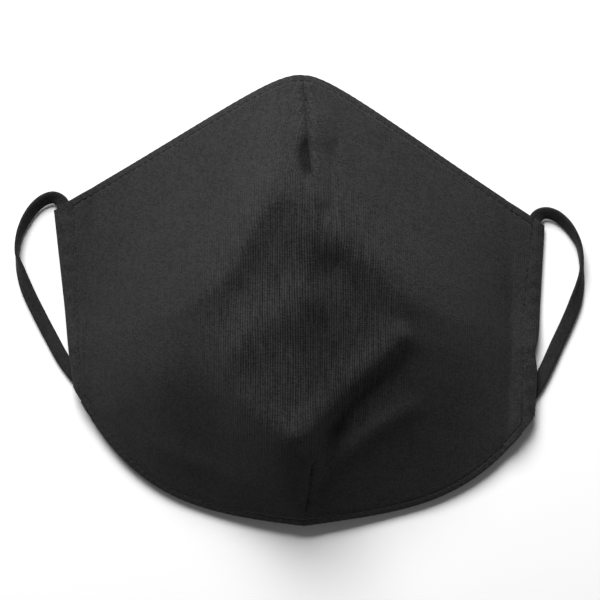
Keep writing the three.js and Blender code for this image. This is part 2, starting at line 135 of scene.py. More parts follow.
# Each fold runs from (x0, y0) to (x1, y1), bowed sideways; "left" and "right" are its widths on
# either hand, "high" and "low" its heights at its two ends, and "tail" how softly it ends.
FOLD_COLUMNS = ("x0", "y0", "x1", "y1", "bow", "left", "right", "high", "low", "tail")
FOLDS = {
    "chin_fold": (35, -12, 1, -47, 0, 3.5, 6, 3.1, 3.1, 4),
    "valley_under_it": (37, -21, 13, -43, 0, 6, 4, -1.4, -1.5, 5),
    "valley_to_the_chin": (11, -46, 3, -72, 2, 6, 4, -1.8, -1.2, 4),
    "second_fold": (37, -39, 8, -59, 0, 4.5, 4, 1.8, 1.8, 6),
    "left_shoulder": (-11, 40, -26, 4, 3, 5, 12, 0.7, 1.0, 5),
    "left_of_the_dent": (-9, 25, -20, 3, 2, 6, 6, -0.4, -0.9, 6),
    "fold_across": (2, 1, -21, -17, 0, 8, 6.5, 2.7, 2.2, 6),
    "top_of_the_fold": (3, 26, 1, 6, 0, 4, 5, 0.8, 0.8, 5),
    "right_shoulder": (3, 25, 37, 0, 0, 12, 6, 0.8, 0.8, 6),
    "right_of_the_dent": (12, 10, 28, -6, 0, 8, 12, -2.0, -0.6, 8),
    "left_chin_fold": (-46, -54, -8, -70, 0, 4, 4, 0.9, 1.0, 8),
    "left_corner_puff": (-74, -30, -70, -38, 0, 6, 6, 2.0, 2.0, 5),
    "right_corner_puff": (79, -42, 75, -50, 0, 7, 7, 2.0, 2.0, 5),
    "left_seam_puff": (-76, 24, -75, -16, 0, 6, 4, 0.9, 0.9, 6),
    "beside_the_dart": (6.3, 62, 6.3, 36, 0, 4.2, 3.4, 2.0, 2.5, 6),
    "shade_beside_it": (10.4, 50, 10, 32, 0, 3.2, 8, -2.8, -3.0, 6),
}
NOSE_DART = {"mouth": (1.2, 82), "tip": (4.6, 42.5), "depth": 2.6,
             "pocket": {"x": 2.0, "y": 49, "half_width": 3.6, "half_length": 8.5, "depth": 2.4}}
CHIN_DART = {"mouth": (1.6, -82), "tip": (4.0, -56), "depth": 0.8,
             "pocket": {"x": 3.0, "y": -62, "half_width": 2, "half_length": 6, "depth": 0.3}}
# Both seams are a groove between low shoulders, bowed on the way to the tip. "end" and "mouth" are
# shares of the way from mouth to tip: the seam fades out over the one, and over the other the
# groove opens from the share that the hem leaves. The pocket has a soft rim and stops at the seam.
DART_SEAM = {"bow": 1.5, "groove_width": 0.75, "end": (1.06, 0.9),
             "shoulder": {"height": 0.3, "away": 2.4, "width": 1.4},
             "mouth": (0.1, 0.3), "mouth_share": 0.2,
             "pocket_rim": (1.15, 0.45), "pocket_side": (2.0, 0.6)}
DART_TAKES = {"knit": 9, "past_mouth": 1.2, "reach": 30}  # mm of knit lost beside a dart's mouth
# Painted shade: the colour is darkened in each dart's seam for the shade in its crease, fully at
# this depth.
SEAM_SHADE_DEPTH = 3.4  # mm of dart that make the cloth as dark as it gets
WANDER = {"size": 0.8, "wavelength": 34, "seed": 7}  # keeps the folds from running dead straight
SLACK = {"size": 0.16, "wavelength": 15, "seed": 3}
WAVE_SPREAD = (0.7, 1.5)  # the shortest and longest waves, as shares of a wavelength
HEM = {"width": 2.6, "above": 1.0, "below": 1.4, "gap": 0.04, "squareness": 5, "past_seam": 2}
# Each side's channel lies along a leaning axis, down to "fold_y"; "seam" is the stitched line where
# the panel's edge lies on it, as (y, x) points from the top, and "nip" is where the elastic draws
# its outer edge in.
SIDES = {
    "left": {"sign": -1, "axis_x": -82.2, "lean": -0.111, "fold_y": -31.8,
             "seam": ((38, -83.0), (28, -82.1), (14, -80.8), (-6, -81.2), (-29, -79.6),
                      (-42, -79.2)),
             "nip": {"y": -30, "depth": 0.3, "reach": 5}},
    "right": {"sign": 1, "axis_x": 84.0, "lean": 0.056, "fold_y": -39.5,
              "seam": ((32, 85.2), (18, 83.8), (-6, 81.5), (-30, 81.1), (-46, 80.6)),
              "nip": {"y": -19, "depth": 1.2, "reach": 4.5}},
}
CHANNEL_WIDTH = 8.0
# The panel's wall where it laps a channel. "blend" is where it thins, in mm outwards from the
# channel's inner edge.
LAP = {"thickness": 0.35, "gap": 0.1, "blend": (-1.2, -0.2)}
PANEL_COLUMNS = 236
PANEL_ROWS = 190
DART_CROWDING = {"centre": 2.5, "reach": 4, "share": 5}
EDGE_CROWDING = 0.2  # how much the rows crowd towards both hems
EDGE_SLANT = 0.86  # mm square to the top or bottom edge for each mm of y
EDGE_STEP = 0.5
RIM = {"reach": 0.7, "drop": 0.1}  # how the stitching draws the panel's rim down


def smoothstep(start, end, value):
    part = np.clip((value - start) / (end - start), 0, 1)
    return part * part * (3 - 2 * part)


def mix(first, second, part):
    return first + (second - first) * part


def unit(vectors):
    return vectors / np.linalg.norm(vectors, axis=-1, keepdims=True)


def travelled(points):
    """How far each point lies along the line through all of them."""
    return np.concatenate([[0], np.cumsum(np.linalg.norm(np.diff(points, axis=0), axis=-1))])


def ripple(x, y, wavelength, seed, waves=9):
    """Smooth irregular waves over the plan, about -1 to 1."""
    draw = np.random.default_rng(seed)
    total = 0
    for _ in range(waves):
        turn, phase = draw.uniform(0, math.tau, 2)
        pitch = wavelength * draw.uniform(*WAVE_SPREAD)
        run = x * math.cos(turn) + y * math.sin(turn)
        total = total + np.sin(math.tau * run / pitch + phase)
    return total / math.sqrt(waves * 2)


def top_edge(x):
    slope = np.where(x < NOSE["x"], TOP_SLOPE["left"], TOP_SLOPE["right"])
    away = np.hypot(x - NOSE["x"], NOSE["roundness"]) - NOSE["roundness"]
    return NOSE["y"] - slope * away


def bottom_edge(x):
    left = x < CHIN["x"]
    away = np.abs(x - CHIN["x"])
    reach = np.where(left, CORNER_REACH["left"], CORNER_REACH["right"])
    rise = np.where(left, CORNER_RISE["left"], CORNER_RISE["right"])
    return CHIN["y"] + CHIN["slope"] * away + rise * (away / reach) ** CORNER_POWER


def fold_height(x, y, fold):
    row = dict(zip(FOLD_COLUMNS, fold))
    run_x, run_y = row["x1"] - row["x0"], row["y1"] - row["y0"]
    length = math.hypot(run_x, run_y)
    run_x, run_y = run_x / length, run_y / length
    part = ((x - row["x0"]) * run_x + (y - row["y0"]) * run_y) / length
    along = np.clip(part, 0, 1)
    bowed = 4 * row["bow"] * along * (1 - along)
    aside = (y - row["y0"]) * run_x - (x - row["x0"]) * run_y - bowed
    width = np.where(aside > 0, row["left"], row["right"])
    beyond = np.abs(part - along) * length
    height = mix(row["high"], row["low"], along)
    return height * np.exp(-(aside / width) ** 2 - (beyond / row["tail"]) ** 2)


def dart_height(x, y, dart):
    """The seam's narrow groove, with a long oval pocket beside it before the dart's tip."""
    (mouth_x, mouth_y), (tip_x, tip_y) = dart["mouth"], dart["tip"]
    part = (y - mouth_y) / (tip_y - mouth_y)
    aside = x - mix(mouth_x, tip_x, np.clip(part, 0, 1) ** DART_SEAM["bow"])
    opened = mix(DART_SEAM["mouth_share"], 1, smoothstep(*DART_SEAM["mouth"], part))
    groove = dart["depth"] * opened * np.exp(-(aside / DART_SEAM["groove_width"]) ** 2)
    shoulder = DART_SEAM["shoulder"]
    from_shoulder = (np.abs(aside) - shoulder["away"]) / shoulder["width"]
    shoulders = shoulder["height"] * np.exp(-from_shoulder ** 2)
    pocket = dart["pocket"]
    from_middle = np.hypot((x - pocket["x"]) / pocket["half_width"],
                           (y - pocket["y"]) / pocket["half_length"])
    hollow = pocket["depth"] * smoothstep(*DART_SEAM["pocket_rim"], from_middle)
    return (smoothstep(*DART_SEAM["end"], part) * (shoulders - groove)
            - hollow * smoothstep(*DART_SEAM["pocket_side"], aside))


def side_lift(y):
    return CHANNEL_LIFT["height"] * (1 - smoothstep(CHANNEL_LIFT["end"], CHANNEL_LIFT["start"], y))


def eased(rows, x):
    """A value read from a table of (x, value) rows, with its corners eased."""
    places, values = zip(*rows)
    shifts = np.linspace(-EASE["reach"], EASE["reach"], EASE["samples"])
    return sum(np.interp(x + shift, places, values) for shift in shifts) / len(shifts)


def lowest(planes):
    """The lowest of some slopes, with rounded creases where they meet."""
    crease = EASE["crease"]
    sharp = np.minimum.reduce(planes)
    total = sum(np.exp((sharp - plane) / crease) for plane in planes)
    return sharp - crease * np.log(total)


def dome_height(x, y, beside):
    """The darted dome: up from the chin, gently up the sunken front, down to the nose."""
    low, high = bottom_edge(x), top_edge(x)
    crown = DOME["height"] * (1 - beside ** DOME["side_power"]) ** DOME["side_ease"]
    crest, ledge = eased(CREST, x), eased(LEDGE, x)
    slope = eased(FRONT_SLOPE, x) * crown / DOME["height"]
    ledge_height = crown - slope * (crest - ledge)
    up_the_chin = np.maximum(y - low, 0) / np.maximum(ledge - low, 1)
    down_the_nose = np.maximum(y - crest, 0) / np.maximum(high - crest, 1)
    from_chin = ledge_height * up_the_chin ** FALL["chin"]
    front = ledge_height + slope * (y - ledge)
    to_nose = crown * (1 - down_the_nose ** FALL["nose"])
    return np.maximum(lowest([from_chin, front, to_nose]), 0)


def panel_height(x, y):
    """Height of the wall's middle over the plan, mm."""
    low, high = bottom_edge(x), top_edge(x)
    along = np.clip((y - low) / (high - low), 0, 1)
    beside = np.minimum(1, np.abs(x) / DOME["half_width"])
    nose_lift = NOSE_LIFT["height"] * (1 - smoothstep(0, NOSE_LIFT["reach"], beside))
    chin_lift = CHIN_LIFT["height"] * (1 - smoothstep(0, CHIN_LIFT["reach"], beside))
    edge = FOLD_FADE["edge"]
    inside = smoothstep(0, edge, along) * smoothstep(0, edge, 1 - along)
    inside = inside * (1 - beside ** FOLD_FADE["side_power"])
    seed, wave = WANDER["seed"], WANDER["wavelength"]
    moved_x = x + WANDER["size"] * ripple(x, y, wave, seed)
    moved_y = y + WANDER["size"] * ripple(x, y, wave, seed + 1)
    folds = sum(fold_height(moved_x, moved_y, fold) for fold in FOLDS.values())
    slack = SLACK["size"] * ripple(x, y, SLACK["wavelength"], SLACK["seed"])
    fullness = CHANNEL_FULLNESS["height"] * smoothstep(
        CHANNEL_FULLNESS["start"], CHANNEL_FULLNESS["end"], beside)
    return (REST_MIDDLE + fullness + side_lift(y) * beside ** CHANNEL_LIFT["side_power"]
            + dome_height(x, y, beside)
            + nose_lift * along ** NOSE_LIFT["power"]
            + chin_lift * (1 - along) ** CHIN_LIFT["power"]
            + (folds + slack) * inside
            + dart_height(x, y, NOSE_DART) + dart_height(x, y, CHIN_DART))


def panel_normal(x, y, step=0.25):
    slope_x = (panel_height(x + step, y) - panel_height(x - step, y)) / (2 * step)
    slope_y = (panel_height(x, y + step) - panel_height(x, y - step)) / (2 * step)
    return unit(np.stack([-slope_x, -slope_y, np.ones_like(slope_x)], axis=-1))


def off_panel(x, y, height):
    """Points at a height off the wall's middle, square to the cloth, mm."""
    centre = np.stack([x, y, panel_height(x, y)], axis=-1)
    return centre + panel_normal(x, y) * np.asarray(height)[..., None]


def knit_place(x, y):
    """Where a point of the plan lies on the knit: across the ribs and along them, mm. The darts
    take ribs in, so beside them the ribs lean towards the seam."""
    across = x.copy()
    for dart in (NOSE_DART, CHIN_DART):
        (mouth_x, mouth_y), (tip_x, tip_y) = dart["mouth"], dart["tip"]
        openness = (y - tip_y) / (mouth_y - tip_y)
        taken = DART_TAKES["knit"] * np.clip(openness, 0, DART_TAKES["past_mouth"])
        aside = x - mix(tip_x, mouth_x, np.clip(openness, 0, 1))
        across = across + np.sign(aside) * taken * np.exp(-np.abs(aside) / DART_TAKES["reach"])
    return np.stack([across, y], axis=-1)


def seam_shade_share(x, y):
    """How much painted shade a dart's seam gets: 1 where the cloth turns down into the seam, and
    less beside it.
    """
    depth = np.zeros_like(x)
    for dart in (NOSE_DART, CHIN_DART):
        depth = np.maximum(depth, -dart_height(x, y, dart) / SEAM_SHADE_DEPTH)
    return np.clip(depth, 0, 1)


def make_piece(name, points, faces, knit, paint):
    """A mesh in metres from points in mm, with its place on the knit kept as a UV map in mm."""
    mesh = bpy.data.meshes.new(name)
    mesh.from_pydata([tuple(point) for point in points * MM], [], faces)
    layer = mesh.uv_layers.new(name="knit")
    corners = np.zeros(len(mesh.loops), dtype=np.int64)
    mesh.loops.foreach_get("vertex_index", corners)
    layer.data.foreach_set("uv", knit[corners].astype(np.float32).ravel())
    mesh.polygons.foreach_set("use_smooth", [True] * len(mesh.polygons))
    mesh.materials.append(paint)
    mesh.validate()
    made = bpy.data.objects.new(name, mesh)
    scene.collection.objects.link(made)
    return made


def slab_faces(rows, columns):
    """A closed slab: an upper grid of points, then the lower one, joined round the rim."""
    lower = rows * columns
    faces = []
    for row in range(rows - 1):
        for column in range(columns - 1):
            a = row * columns + column
            b, c, d = a + 1, a + columns + 1, a + columns
            faces.append((a, b, c, d))
            faces.append((lower + a, lower + d, lower + c, lower + b))
    for row in range(rows - 1):
        a, d = row * columns, (row + 1) * columns
        faces.append((a, d, lower + d, lower + a))
        b, c = a + columns - 1, d + columns - 1
        faces.append((c, b, lower + b, lower + c))
    for column in range(columns - 1):
        a = column
        faces.append((a + 1, a, lower + a, lower + a + 1))
        d = (rows - 1) * columns + column
        faces.append((d, d + 1, lower + d + 1, lower + d))
    return faces


class Wire:
    """One output of a node tree. Sums and products of wires add Math nodes to the tree."""

    def __init__(self, tree, output):
        self.tree = tree
        self.output = output

    def node(self, kind, settings, sockets, output=0):
        made = self.tree.nodes.new(kind)
        for name, value in settings.items():
            setattr(made, name, value)
        for socket, value in sockets.items():
            if isinstance(value, Wire):
                self.tree.links.new(value.output, made.inputs[socket])
            else:
                made.inputs[socket].default_value = value
        return Wire(self.tree, made.outputs[output])

    def maths(self, operation, *values):
        return self.node("ShaderNodeMath", {"operation": operation}, dict(enumerate(values)))

    def __add__(self, other):
        return self.maths("ADD", self, other)

    def __sub__(self, other):
        return self.maths("SUBTRACT", self, other)

    def __rsub__(self, other):
        return self.maths("SUBTRACT", other, self)

    def __mul__(self, other):
        return self.maths("MULTIPLY", self, other)

    def __truediv__(self, other):
        return self.maths("DIVIDE", self, other)

    def wave(self):
        return self.maths("COSINE", self * math.tau) * 0.5 + 0.5

    def noise(self, dimensions, place, **settings):
        return self.node("ShaderNodeTexNoise", {"noise_dimensions": dimensions},
                         {"Vector": place, **settings})

    def blend(self, dark, pale, share):
        return self.node("ShaderNodeMix", {"data_type": "RGBA"}, {0: share, 6: dark, 7: pale},
                         output=2)

    def feed(self, socket):
        self.tree.links.new(self.output, socket)


def start_paint(name, settings):
    """A new material, its finish, and a wire to the knit's UV map."""
    paint = bpy.data.materials.new(name)
    paint.use_nodes = True
    tree = paint.node_tree
    finish = tree.nodes["Principled BSDF"]
    for socket, value in settings.items():
        finish.inputs[socket].default_value = value
    place = Wire(tree, None).node("ShaderNodeUVMap", {"uv_map": "knit"}, {})
    return paint, finish, place


# The knit's noises: streaks along the ribs, the nap's fuzz, and slow drifts in the dye.
STREAK = {"Scale": 0.9, "Detail": 2.0, "Roughness": 0.6}
STREAK_STRETCH = 0.06
NAP = {"Scale": 2.8, "Detail": 1.0, "Roughness": 0.7}
DRIFT = {"Scale": 0.06, "Detail": 2.0, "Roughness": 0.5}
YARN = {"unevenness": 0.6, "stitch": 0.4, "middle": 0.4}
TINTS = {"dark": 0.15, "pale": 2.25}  # times the cloth's colour
# How far each part moves the colour from the dark tint, at 0, to the pale one, at 1. The yarn's
# share is painted shade between the ribs.
SHADE = {"start": 0.4, "uneven": 0.24, "nap": 1.5, "drift": 0.1, "yarn": 0.1, "streak": 0.15}
# On the panel: painted rib shade over the slack middle, painted shade in the darts' seams, and
# painted shade in the middle with painted light towards the sides.
PANEL_SHADE = {"yarn": 0.6, "streak": 0.7, "painted_seam_shade": 0.6, "sides": 0.08, "middle": 0.015}
# Painted shade between the ribs is stronger here, over the slack middle.
RIB_SHADE_PATCH = {"x": 3, "y": -8, "reach_x": 34, "reach_y": 44}  # where the slack knit's ribs show
BUMP = {"yarn": 0.5, "uneven": 0.6, "nap": 0.9, "strength": 0.8}
KNIT_FINISH = {"Roughness": 0.85, "Specular IOR Level": 0.12, "Sheen Weight": 0.05,
               "Sheen Roughness": 0.5}


def knit_paint(name, tint, wale=0.83, course=0.62, relief=0.2, on_panel=False):
    """Fine jersey: upright ribs of small V stitches of uneven yarn, with a soft nap, and painted
    shade between the ribs. On the panel the painted rib shade is stronger where it hangs slack, and
    painted shade darkens it where it turns into a dart."""
    paint, finish, place = start_paint(name, KNIT_FINISH)
    place_x = place.node("ShaderNodeSeparateXYZ", {}, {0: place})
    place_y = place.node("ShaderNodeSeparateXYZ", {}, {0: place}, output=1)
    across, along = place_x / wale, place_y / course
    rib = across.wave()
    leg = across.maths("PINGPONG", across, 0.5)
    stitch = (along + leg).wave()
    cell = place.node("ShaderNodeCombineXYZ", {}, {0: across, 1: along + leg})
    loop = place.node("ShaderNodeTexVoronoi", {"voronoi_dimensions": "2D"},
                      {"Vector": cell, "Scale": 1.0, "Randomness": YARN["unevenness"]}, output=1)
    uneven = place.node("ShaderNodeSeparateXYZ", {}, {0: loop})
    stretched = place.node("ShaderNodeCombineXYZ", {}, {0: across, 1: along * STREAK_STRETCH})
    streak = place.noise("2D", stretched, **STREAK)
    nap = place.noise("3D", place, **NAP)
    drift = place.noise("3D", place, **DRIFT)
    yarn = (1 - rib) * (stitch * YARN["stitch"] + (1 - YARN["stitch"]))
    light = ((uneven - 0.5) * SHADE["uneven"] + (nap - 0.5) * SHADE["nap"]
             + (drift - 0.5) * SHADE["drift"] + SHADE["start"])
    # Painted shade between the ribs, with streaks of random tone along them.
    ribs = (yarn - YARN["middle"]) * SHADE["yarn"] + (streak - 0.5) * SHADE["streak"]
    if on_panel:
        # Over the slack middle the painted rib shade and the streaks are stronger.
        off_x = (place_x - RIB_SHADE_PATCH["x"]) / RIB_SHADE_PATCH["reach_x"]
        off_y = (place_y - RIB_SHADE_PATCH["y"]) / RIB_SHADE_PATCH["reach_y"]
        away = off_x * off_x + off_y * off_y
        opened = away.maths("EXPONENT", away * away * -1)
        ribs = ribs + opened * ((yarn - YARN["middle"]) * PANEL_SHADE["yarn"]
                                + (streak - 0.5) * PANEL_SHADE["streak"])
        # Painted shade in the darts' seams, where the crease lies in shade.
        painted_seam_shade = place.node("ShaderNodeAttribute", {"attribute_name": "painted_seam_shade"}, {}, output=2)
        ribs = ribs - painted_seam_shade * PANEL_SHADE["painted_seam_shade"]
        # Painted light and shade: the panel's colour is darker in the middle and lighter towards
        # the sides, for the light that falls there.
        aside = place_x / DOME["half_width"]
        light = light + aside * aside * PANEL_SHADE["sides"] - PANEL_SHADE["middle"]
    dark, pale = (tuple(part * TINTS[end] for part in tint) + (1,) for end in ("dark", "pale"))
    place.blend(dark, pale, light + ribs).feed(finish.inputs["Base Color"])
    height = yarn * BUMP["yarn"] + uneven * BUMP["uneven"] + nap * BUMP["nap"]
    bump = place.node("ShaderNodeBump", {}, {"Height": height, "Distance": relief * MM,
                                            "Strength": BUMP["strength"]})
    bump.feed(finish.inputs["Normal"])
    return paint


def seam_x(side, y):
    """The stitched line along a side, where the panel's edge lies on the channel."""
    rows = sorted(side["seam"])
    return np.interp(y, [row[0] for row in rows], [row[1] for row in rows])


def crossing(side, edge, rounds=12):
    """Where a side's seam meets the top or the bottom edge."""
    y = edge(np.array(side["axis_x"], float))
    for _ in range(rounds):
        y = edge(seam_x(side, y))
    return float(seam_x(side, y))


def edge_slope(edge, x):
    return (edge(x + EDGE_STEP) - edge(x - EDGE_STEP)) / (2 * EDGE_STEP)


def hem_inset(edge, x):
    """How far in from the edge, along y, the hem's stitched line lies."""
    return (HEM["width"] + HEM["gap"]) * np.hypot(1, edge_slope(edge, x))


def crowded(count, start, end, centre, reach, share, samples=2000):
    """Steps from start to end that lie closer together round a centre."""
    fine = np.linspace(start, end, samples)
    weight = np.cumsum(1 + share * np.exp(-((fine - centre) / reach) ** 2))
    weight = (weight - weight[0]) / (weight[-1] - weight[0])
    return np.interp(np.linspace(0, 1, count), weight, fine)


def panel_plan():
    """The panel's grid over the plan, closer together at the darts and near both hems."""
    low_left, high_left = (crossing(SIDES["left"], edge) for edge in (bottom_edge, top_edge))
    low_right, high_right = (crossing(SIDES["right"], edge) for edge in (bottom_edge, top_edge))
    half_width = DOME["half_width"]
    columns = crowded(PANEL_COLUMNS, -half_width, half_width, **DART_CROWDING)
    across = (columns + half_width) / (2 * half_width)
    low_x = mix(low_left, low_right, across)
    high_x = mix(high_left, high_right, across)
    low_y = bottom_edge(low_x) + hem_inset(bottom_edge, low_x)
    high_y = top_edge(high_x) - hem_inset(top_edge, high_x)
    even = np.linspace(-1, 1, PANEL_ROWS)
    uneven = even * (1 - EDGE_CROWDING) + EDGE_CROWDING * np.sin(even * math.pi / 2)
    along = (0.5 + 0.5 * uneven)[:, None]
    x = mix(low_x, high_x, along)
    y = mix(low_y, high_y, along)
    x = np.clip(x, seam_x(SIDES["left"], y), seam_x(SIDES["right"], y))
    return x, y


def inner_edge_x(side, y):
    """The channel's inner edge, which lies under the panel."""
    return side["axis_x"] + side["lean"] * y - side["sign"] * CHANNEL_WIDTH / 2


def rim_depth(x, y):
    """How deep inside the panel's rim a point lies, mm."""
    return np.minimum.reduce([
        x - seam_x(SIDES["left"], y), seam_x(SIDES["right"], y) - x,
        (top_edge(x) - hem_inset(top_edge, x) - y) * EDGE_SLANT,
        (y - bottom_edge(x) - hem_inset(bottom_edge, x)) * EDGE_SLANT])


def wall_below(x, y):
    """How far the panel's inner face lies under its middle: less where it laps a channel."""
    lapped = np.zeros_like(x)
    for side in SIDES.values():
        over = side["sign"] * (x - inner_edge_x(side, y))
        lapped = np.maximum(lapped, smoothstep(*LAP["blend"], over))
    return mix(CLOTH / 2, LAP["thickness"] - CLOTH / 2, lapped)


plan_x, plan_y = panel_plan()
drawn = RIM["drop"] * (1 - np.clip(rim_depth(plan_x, plan_y) / RIM["reach"], 0, 1)) ** 2
panel_upper = off_panel(plan_x, plan_y, CLOTH / 2 - drawn)
panel_lower = off_panel(plan_x, plan_y, -wall_below(plan_x, plan_y))
for skin in (panel_upper, panel_lower):
    skin[..., 0] = np.clip(skin[..., 0], seam_x(SIDES["left"], skin[..., 1]),
                           seam_x(SIDES["right"], skin[..., 1]))
panel_points = np.concatenate([panel_upper.reshape(-1, 3), panel_lower.reshape(-1, 3)])
panel_knit = knit_place(plan_x, plan_y).reshape(-1, 2)
black_knit = knit_paint("black_knit", (0.0182, 0.0182, 0.0187), on_panel=True)
panel = make_piece("knit_panel", panel_points, slab_faces(*plan_x.shape),
                   np.concatenate([panel_knit, panel_knit]), black_knit)
# The painted shade of the darts' seams, kept on the panel's points.
seam_shade_layer = panel.data.attributes.new("painted_seam_shade", "FLOAT", "POINT")
panel_seam_shade = seam_shade_share(plan_x, plan_y).ravel()
seam_shade_layer.data.foreach_set("value", np.concatenate([panel_seam_shade, panel_seam_shade]).astype(np.float32))
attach(panel, "root")
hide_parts("mask_body")

# ======== Turned hems ========
# The panel's top and bottom edges, turned under and stitched down 2.6 mm in. The fold puffs up a
# little between the stitches, and the needle line draws it in.
STITCH = {"pitch": 2.6, "length": 1.5, "radius": 0.15, "lift": 0.85, "sink": 0.32, "taper": 0.45,
          "rings": 5, "sides": 6}
THREAD = {"dark": (0.014, 0.014, 0.015, 1), "pale": (0.032, 0.032, 0.034, 1)}
THREAD_TWIST = {"Scale": 5.0, "Detail": 2.0}
THREAD_FINISH = {"Roughness": 0.6, "Specular IOR Level": 0.3}
HEM_PUFF = 0.05
HEM_STEPS = 620
HEM_SIDES = 18
SEAM_STEPS = 4000  # fine steps along a hem, among which its stitches are placed


def ring_faces(rings, size, closed):
    """Faces that join ring after ring; an open bar gets an end cap on both ends."""
    faces = []
    for ring in range(rings if closed else rings - 1):
        here, there = ring * size, (ring + 1) % rings * size
        for index in range(size):
            following = (index + 1) % size
            faces.append((here + index, there + index, there + following, here + following))
    if not closed:
        last = (rings - 1) * size
        faces.append(tuple(range(size)))
        faces.append(tuple(reversed(range(last, last + size))))
    return faces


def soft_section(width, height, sides, squareness):
    """A section between an oval and a box, anticlockwise, as rows of (across, up)."""
    turn = np.linspace(0, math.tau, sides, endpoint=False)
    across = np.sign(np.cos(turn)) * np.abs(np.cos(turn)) ** (2 / squareness) * width / 2
    up = np.sign(np.sin(turn)) * np.abs(np.sin(turn)) ** (2 / squareness) * height / 2
    return np.stack([across, up], axis=-1)


def edge_route(edge, into_panel, start_x, end_x, inset, steps):
    """Stations along an edge of the panel: their places, and the ways along, aside and up."""
    x = np.linspace(start_x, end_x, steps)
    run = unit(np.stack([np.ones_like(x), edge_slope(edge, x)], axis=-1))
    inward = np.stack([-run[:, 1], run[:, 0]], axis=-1) * into_panel
    place = np.stack([x, edge(x)], axis=-1) + inward * inset
    normal = panel_normal(place[:, 0], place[:, 1])
    run = np.concatenate([run, np.zeros((steps, 1))], axis=-1)
    outward = unit(np.cross(run, normal))
    centre = np.concatenate([place, panel_height(place[:, 0], place[:, 1])[:, None]], axis=-1)
    return centre, run, outward, np.cross(outward, run)


def make_hem(name, edge, into_panel):
    start_x, end_x = (crossing(side, edge) + HEM["past_seam"] * side["sign"]
                      for side in SIDES.values())
    centre, _, outward, up = edge_route(
        edge, into_panel, start_x, end_x, HEM["width"] / 2, HEM_STEPS)
    puff = 1 + HEM_PUFF * -np.cos(math.tau * travelled(centre) / STITCH["pitch"])
    section = soft_section(HEM["width"], 2, HEM_SIDES, HEM["squareness"])
    section[:, 1] *= np.where(section[:, 1] > 0, HEM["above"], HEM["below"])
    level_share = np.linalg.norm(outward[:, :2], axis=-1)  # so that its plan width is the same
    rings = (centre[:, None] + (outward / level_share[:, None])[:, None] * section[None, :, :1]
             + up[:, None] * section[None, :, 1:] * puff[:, None, None])
    points = rings.reshape(-1, 3)
    points[:, 0] = np.clip(points[:, 0], seam_x(SIDES["left"], points[:, 1]) - HEM["gap"],
                           seam_x(SIDES["right"], points[:, 1]) + HEM["gap"])
    made = make_piece(name, points, ring_faces(HEM_STEPS, HEM_SIDES, False),
                      knit_place(points[:, 0], points[:, 1]), hem_knit_lightened)
    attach(made, "root")
    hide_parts(name.replace("turned_", ""))
    return made


def make_stitches(name, places, runs, ups):
    """A row of short sewn stitches: each sinks into the cloth at both ends."""
    sides = STITCH["sides"]
    bends = np.linspace(-1, 1, STITCH["rings"])
    turn = np.linspace(0, math.tau, sides, endpoint=False)
    points, faces = [], []
    for place, run, up in zip(places, runs, ups):
        side = np.cross(up, run)
        first = len(points)
        for bend in bends:
            along = run * bend * STITCH["length"] / 2
            centre = place + along - up * STITCH["sink"] * bend ** 4
            radius = STITCH["radius"] * (1 - STITCH["taper"] * bend ** 4)
            points += [centre + radius * (side * math.cos(angle) + up * math.sin(angle))
                       for angle in turn]
        faces += [tuple(first + index for index in face)
                  for face in ring_faces(len(bends), sides, False)]
    points = np.array(points)
    made = make_piece(name, points, faces, points[:, :2].copy(), thread)
    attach(made, "root")


def thread_paint():
    paint, finish, place = start_paint("black_thread", THREAD_FINISH)
    twist = place.noise("3D", place, **THREAD_TWIST)
    place.blend(THREAD["dark"], THREAD["pale"], twist).feed(finish.inputs["Base Color"])
    return paint


def hem_stitches(name, edge, into_panel):
    start_x, end_x = (crossing(side, edge) for side in SIDES.values())
    spot, run, _, up = edge_route(edge, into_panel, start_x, end_x, HEM["width"], SEAM_STEPS)
    gone = travelled(spot)
    wanted = np.arange(STITCH["pitch"], gone[-1] - STITCH["pitch"], STITCH["pitch"])
    rows = np.searchsorted(gone, wanted)
    make_stitches(name, spot[rows] + up[rows] * STITCH["lift"], run[rows], up[rows])


# The hems' knit, also used on the channels, is tinted lighter than the panel's: painted light that
# makes up for the shade on the hems' rounded tops.
hem_knit_lightened = knit_paint("hem_knit_lightened", (0.0205, 0.0205, 0.0211))
thread = thread_paint()
top_hem = make_hem("turned_top_hem", top_edge, -1)
bottom_hem = make_hem("turned_bottom_hem", bottom_edge, 1)
hem_stitches("top_hem_stitches", top_edge, -1)
hem_stitches("bottom_hem_stitches", bottom_edge, 1)

# ======== Side channels ========
# The panel's sides, turned under as flat channels 8 mm wide, open at both ends so that the elastic
# can run through. The panel laps each one's inner part and is stitched down on it, and the
# elastic's pull puckers the rest.
CHANNEL = {"wall": 0.7, "below": 1.7, "hollow": 2.0, "squareness": 3.0, "rounding": 3}
PUCKER = {"height": 0.16, "pitch": 6.5, "swing": 1.3, "swing_length": 9}
RIM_SPAN = 7  # mm that a channel's open width counts as where its rim is drawn down
SEAM_BLEND = 0.1
SKIN_BLEND = 0.4
UNDER_HEM = 0.15  # up to this far past the seam a channel ends short of the hem
HEM_CLEARANCE = 0.2
MOUTHS = {"low": 0.3, "high": 0.5}  # how far the under skin is cut back at either end
STITCHES_FROM = -3  # mm of y from each end of a side
CHANNEL_STEPS = 190
CHANNEL_SIDES = 48


